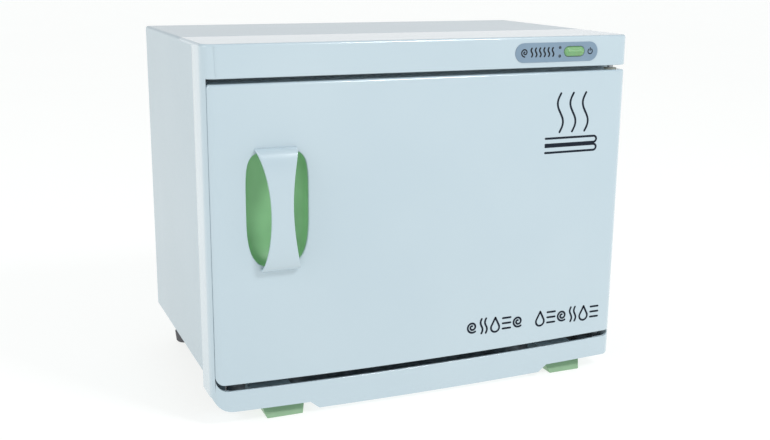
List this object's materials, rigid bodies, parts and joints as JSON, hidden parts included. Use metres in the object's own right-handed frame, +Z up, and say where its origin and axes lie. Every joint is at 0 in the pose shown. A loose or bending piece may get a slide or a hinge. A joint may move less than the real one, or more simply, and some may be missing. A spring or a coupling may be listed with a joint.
{
  "type": "towel warmer cabinet",
  "caption": "White counter-top hot towel cabinet: heated aluminium chamber with wire racks, side-hinged door with a bow handle over a green finger cup, and one push button.",
  "frame": {"origin": "on the floor under the middle of the cabinet's bounding box", "axes": "+X to the viewer's right when facing the door, along the width; +Y from the door to the rear panel; +Z up"},
  "size_m": [0.45, 0.285, 0.366],
  "materials": {
    "white_abs": "glossy moulded",
    "white_steel": "gloss powder coat",
    "zinc_steel": "dull zinc plate",
    "green_abs": "satin moulded",
    "green_foot": "satin moulded",
    "aluminium_liner": "anodised",
    "stainless_wire": "polished",
    "wool": "fibrous",
    "foam": "closed-cell foam",
    "mica": "pressed mica",
    "black_plastic": "fine texture",
    "ivory_plastic": "moulded",
    "circuit_board": "solder mask",
    "label": "printed film",
    "lamp": "smoked lens",
    "black_rubber": "matt",
    "grey_seal": "silicone",
    "screw_steel": "zinc plate"
  },
  "bodies": {
    "cabinet": {"outer_case": "white_steel", "rear_panel": "white_steel", "base_pan": "zinc_steel", "front_frame": "white_abs", "chamber_liner": "aluminium_liner", "insulation": "wool", "bottom_heater": "mica", "back_heater": "mica", "thermostat": "black_plastic", "thermal_fuse": "ivory_plastic", "rack_runners": "aluminium_liner", "upper_rack": "stainless_wire", "lower_rack": "stainless_wire", "drip_tray": "aluminium_liner", "control_label": "label", "switch_body": "black_plastic", "control_board": "circuit_board", "indicator_lamps": "lamp", "wiring_loom": "black_plastic", "terminal_block": "ivory_plastic", "power_inlet": "black_plastic", "catch_magnets": "black_plastic", "hinge_bracket_top": "screw_steel", "hinge_bracket_bottom": "screw_steel", "hinge_pin_top": "screw_steel", "hinge_pin_bottom": "screw_steel", "front_foot_bracket_left": "white_steel", "front_foot_bracket_right": "white_steel", "front_foot_left": "green_foot", "front_foot_right": "green_foot", "rear_foot_left": "black_rubber", "rear_foot_right": "black_rubber", "foot_screws": "screw_steel", "rear_panel_screws": "screw_steel", "frame_screws": "screw_steel", "hinge_screws": "screw_steel"},
    "door": {"door_outer": "white_abs", "door_inner_panel": "white_abs", "door_insulation": "foam", "door_seal": "grey_seal", "handle_cup": "green_abs", "handle_strap": "white_abs", "strike_plates": "screw_steel", "door_panel_screws": "screw_steel", "hinge_bush_top": "ivory_plastic", "hinge_bush_bottom": "ivory_plastic"},
    "power_button": {"power_button": "green_foot"}
  },
  "joints": [
    {"name": "door_hinge", "type": "hinge", "parent": "cabinet", "child": "door", "pos_m": [0.213, -0.112, 0.18], "axis": [0, 0, 1], "range_deg": [0, 115]},
    {"name": "button_press", "type": "slide", "parent": "cabinet", "child": "power_button", "axis": [0, 1, 0], "range_m": [0, 0.002], "stiffness_N_per_m": 300, "springref_m": -0.002}
  ]
}
